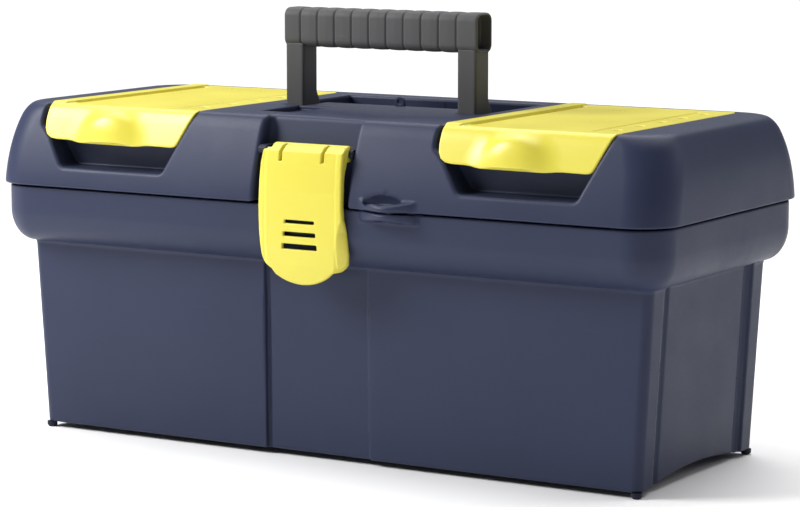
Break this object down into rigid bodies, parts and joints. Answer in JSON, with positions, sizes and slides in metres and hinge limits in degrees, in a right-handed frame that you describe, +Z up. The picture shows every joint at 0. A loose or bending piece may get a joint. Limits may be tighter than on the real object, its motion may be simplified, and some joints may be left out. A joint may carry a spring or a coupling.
{
  "type": "toolbox with tray",
  "caption": "Moulded hand toolbox with a hinged domed lid, a front latch, flip-top organisers in the lid, a fold-down carrying handle and a lift-out tray inside.",
  "frame": {"origin": "centre of the footprint on the ground, under the middle of the box", "axes": "+X along the length to the right seen from the front, -Y out of the front where the latch is, +Z up"},
  "size_m": [0.406, 0.1882, 0.232],
  "materials": {
    "navy_plastic": "fine-grained moulded polypropylene",
    "bin_plastic": "smooth moulded polypropylene",
    "yellow_plastic": "satin moulded polypropylene",
    "handle_plastic": "fine-grained moulded polypropylene",
    "tray_plastic": "satin moulded polypropylene",
    "pin_steel": "drawn wire"
  },
  "bodies": {
    "tub": {"tub_shell": "navy_plastic", "tub_feet": "navy_plastic", "tub_knuckles": "navy_plastic", "latch_keeper": "navy_plastic", "padlock_tab_lower": "navy_plastic", "hinge_pins": "pin_steel"},
    "lid": {"lid_shell": "navy_plastic", "lid_knuckles": "navy_plastic", "padlock_tab_upper": "navy_plastic", "latch_ears": "navy_plastic", "latch_pin": "pin_steel", "organiser_bin_left": "bin_plastic", "organiser_bin_right": "bin_plastic", "bin_dividers": "bin_plastic", "organiser_pins": "pin_steel", "handle_pins": "handle_plastic", "rear_clip": "navy_plastic"},
    "latch": {"front_latch": "yellow_plastic", "latch_hook": "yellow_plastic"},
    "left_cover": {"organiser_lid_left": "yellow_plastic", "thumb_lift_left": "yellow_plastic"},
    "right_cover": {"organiser_lid_right": "yellow_plastic", "thumb_lift_right": "yellow_plastic"},
    "handle": {"handle_legs": "handle_plastic", "handle_grip": "handle_plastic"},
    "tray": {"tray_shell": "tray_plastic", "tray_handle": "tray_plastic", "tray_dividers": "tray_plastic"}
  },
  "joints": [
    {"name": "lid_hinge", "type": "hinge", "parent": "tub", "child": "lid", "pos_m": [0, 0.0902, 0.1359], "axis": [-1, 0, 0], "range_deg": [0, 100]},
    {"name": "tray_lift", "type": "slide", "parent": "tub", "child": "tray", "axis": [0, 0, 1], "range_m": [0, 0.0875]},
    {"name": "latch_hinge", "type": "hinge", "parent": "lid", "child": "latch", "pos_m": [0, -0.079, 0.163], "axis": [-1, 0, 0], "range_deg": [0, 100]},
    {"name": "left_cover_hinge", "type": "hinge", "parent": "lid", "child": "left_cover", "pos_m": [-0.123, 0.0655, 0.1771], "axis": [-1, 0, 0], "range_deg": [0, 95]},
    {"name": "right_cover_hinge", "type": "hinge", "parent": "lid", "child": "right_cover", "pos_m": [0.123, 0.0655, 0.1771], "axis": [-1, 0, 0], "range_deg": [0, 95]},
    {"name": "handle_pivot", "type": "hinge", "parent": "lid", "child": "handle", "pos_m": [0, -0.005, 0.172], "axis": [-1, 0, 0], "range_deg": [0, 90]}
  ],
  "couplings": [
    {"joint": "tray_lift", "follows": "lid_hinge", "m_per_rad": 0.05}
  ]
}
